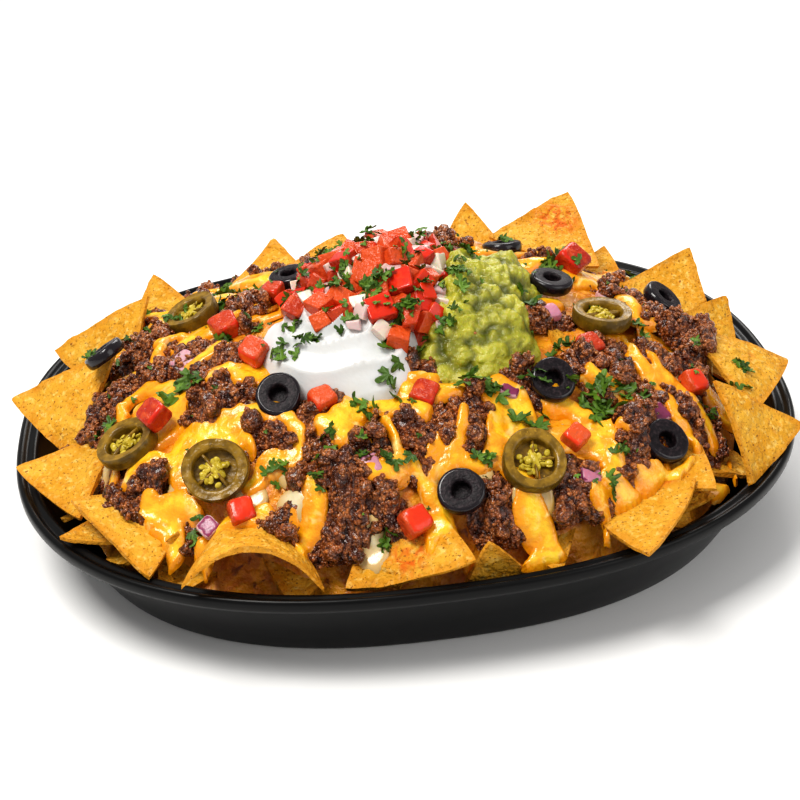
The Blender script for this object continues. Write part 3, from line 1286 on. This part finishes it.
def make_cilantro(finish, trees, clear):
    """Sprigs, leaves and chopped bits on everything but the chips that stand clear."""
    random = np.random.default_rng(21)
    stock = Stock()

    def drop(x, y, size, spread=0.3):
        best, normal = highest(trees, x, y)
        over = highest([clear], x, y)[0]
        if best is None or (over is not None and over.z > best.z):
            return
        lean = np.array(normal) * [0.7, 0.7, 1] + random.normal(0, spread, 3)
        lean[2] = abs(lean[2]) + 0.1
        turn = turn_about(lean / np.linalg.norm(lean), random.uniform(0, math.tau))
        points, faces = leaf_shape(size, stock.count)
        place = np.array(best) + [0, 0, random.uniform(0.3, 0.9) + 0.25 * size * spread]
        stock.put((points - [0, size * 0.35, 0]) @ turn.T + place, faces, 0, random.uniform(0.1, 1))

    def sprig(x, y, size):
        for _ in range(5):
            drop(x + random.normal(0, 0.30 * size), y + random.normal(0, 0.30 * size), 0.48 * size, 0.45)

    for x, y, size in LEAVES:
        sprig(x, y, size)
    for _ in range(28):
        part = math.sqrt(random.uniform(0, 1.0))
        angle = random.uniform(0, math.tau)
        sprig(PICO[0] + PICO[2] * part * math.cos(angle), PICO[1] + PICO[3] * part * math.sin(angle), 8)
    for _ in range(90):
        part = math.sqrt(random.uniform(0, 1.0))
        angle = random.uniform(0, math.tau)
        x, y = PICO[0] + PICO[2] * part * math.cos(angle), PICO[1] + PICO[3] * part * math.sin(angle)
        drop(x, y, random.uniform(1.6, 3.2), 0.5)
    for _ in range(90):
        x, y = on_oval(random.uniform(0, math.tau), math.sqrt(random.uniform(0.1, 0.7)))
        drop(x, y, random.uniform(1.0, 2.2))
    for _ in range(26):
        x, y = on_oval(random.uniform(0.2, 2.95), math.sqrt(random.uniform(0.15, 0.65)))
        sprig(x, y, random.uniform(7, 10))
    stock.piece("cilantro", "cilantro", [finish], (), 80)


# Camera and light ---------------------------------------------------------------------------


def stage_scene():
    """A plain pale floor, soft light and the camera."""
    scene = bpy.context.scene
    scene.view_settings.view_transform = "Standard"
    scene.view_settings.look = "Medium High Contrast"
    floor = Stock()
    floor.put([(-4000, -4000, 0), (4000, -4000, 0), (4000, 4000, 0), (-4000, 4000, 0)], [(0, 1, 2, 3)])
    mesh = bpy.data.meshes.new("floor")
    mesh.from_pydata((floor.points[0] * MM).tolist(), [], floor.faces)
    made = bpy.data.objects.new("floor", mesh)
    mesh.materials.append(floor_paint())
    scene.collection.objects.link(made)

    target = Vector((0, 0, RIM_HEIGHT)) * MM
    distance = 0.700
    elevation = math.radians(31)
    azimuth = math.radians(-5.5)
    away = Vector((
        math.sin(azimuth) * math.cos(elevation), -math.cos(azimuth) * math.cos(elevation), math.sin(elevation)
    ))
    data = bpy.data.cameras.new("camera")
    data.lens = 68.2
    data.sensor_width = 36
    data.shift_x = -0.0016
    data.shift_y = -0.0084
    camera = bpy.data.objects.new("camera", data)
    scene.collection.objects.link(camera)
    camera.location = target + away * distance
    facing = (-away).to_track_quat("-Z", "Y")
    camera.rotation_mode = "QUATERNION"
    camera.rotation_quaternion = facing @ Euler((0, 0, math.radians(-3.6))).to_quaternion()
    scene.camera = camera

    for name, place, size, power, color in (
        ("key", (-0.40, -0.20, 1.04), 0.42, 9.4, (1.0, 0.98, 0.94)),
        ("fill", (0.75, -0.65, 0.60), 0.7, 2.6, (1.0, 0.99, 0.97)),
        ("back", (0.25, 0.85, 0.70), 0.5, 5.0, (1.0, 0.98, 0.96)),
    ):
        light = bpy.data.lights.new(name, "AREA")
        light.size = size
        light.energy = power
        light.color = color
        lamp = bpy.data.objects.new(name, light)
        lamp.location = place
        lamp.rotation_mode = "QUATERNION"
        lamp.rotation_quaternion = (target - Vector(place)).to_track_quat("-Z", "Y")
        scene.collection.objects.link(lamp)

    world = bpy.data.worlds.new("studio")
    world.use_nodes = True
    backdrop = world.node_tree.nodes["Background"]
    backdrop.inputs["Color"].default_value = (1.0, 0.99, 0.975, 1.0)
    backdrop.inputs["Strength"].default_value = 0.42
    scene.world = world


def build(frame):
    stage_scene()
    nodes = frame["nodes"]

    make_dish(dish_paint())
    chip_finish = chip_paint()
    bed = make_bed(bed_paint())
    dressed, bare, lying = make_chips(chip_finish)
    yellow = cheese_paint("yellow_cheese", (0.84, 0.31, 0.004), (0.97, 0.60, 0.030), (0.95, 0.70, 0.24), 0.9)
    white = cheese_paint("white_cheese", (0.62, 0.42, 0.17), (0.71, 0.62, 0.40), (0.80, 0.50, 0.10), 0.3)
    chips = [(bare.tree(), 0.5), (dressed.tree(), 13), (lying.tree(), 30)]
    bands, pools = make_cheese(yellow, white, chips)
    slices = [(stance(node)[0], 13 if "jalapeno" in name else 9) for name, node in nodes.items()
              if name.startswith(("jalapeno", "olive"))]
    layer, lumps = make_beef(beef_paint(), chips, slices)
    cream = make_cream(cream_paint())
    guacamole = make_guacamole(guacamole_paint())
    skin = tomato_paint("tomato_skin", (0.58, 0.018, 0.004), (0.76, 0.050, 0.008), 0.15)
    flesh = tomato_paint("tomato_flesh", (0.40, 0.015, 0.004), (0.67, 0.095, 0.018), 1.0)
    pale_onion = onion_paint("white_onion", (0.68, 0.62, 0.47), (0.66, 0.46, 0.46))
    pico, pico_tomato, pico_onion = make_pico(flesh, [flesh, skin], pale_onion, cream)

    tops = [bed, dressed, lying, bands, pools, layer, lumps, cream, guacamole]
    tops += [pico, pico_tomato, pico_onion]
    olive_skin, olive_flesh = olive_skin_paint(), olive_flesh_paint()
    pepper_skin = pepper_paint("jalapeno_skin", (0.095, 0.054, 0.003), (0.175, 0.102, 0.006))
    pepper_flesh = pepper_paint("jalapeno_flesh", (0.15, 0.082, 0.005), (0.29, 0.165, 0.014))
    pepper_seed = pepper_paint("jalapeno_seed", (0.42, 0.31, 0.016), (0.60, 0.46, 0.05))
    red_flesh = onion_paint("red_onion_flesh", (0.70, 0.50, 0.50), (0.50, 0.17, 0.26))
    red_skin = onion_paint("red_onion_skin", (0.30, 0.050, 0.13), (0.17, 0.020, 0.07))
    for name in sorted(nodes):
        kind, _, number = name.rpartition("_")
        if kind == "olive":
            tops.append(make_olive(int(number), nodes[name], olive_skin, olive_flesh))
        elif kind == "jalapeno":
            tops.append(make_jalapeno(int(number), nodes[name], pepper_skin, pepper_flesh, pepper_seed))
        elif kind == "tomato":
            tops.append(make_dice(name, nodes[name], "tomato", [flesh, skin]))
        elif kind == "red_onion":
            tops.append(make_dice(name, nodes[name], "red_onion", [red_flesh, red_skin]))
    make_cilantro(leaf_paint(), [stock.tree() for stock in tops], bare.tree())


build(frame)
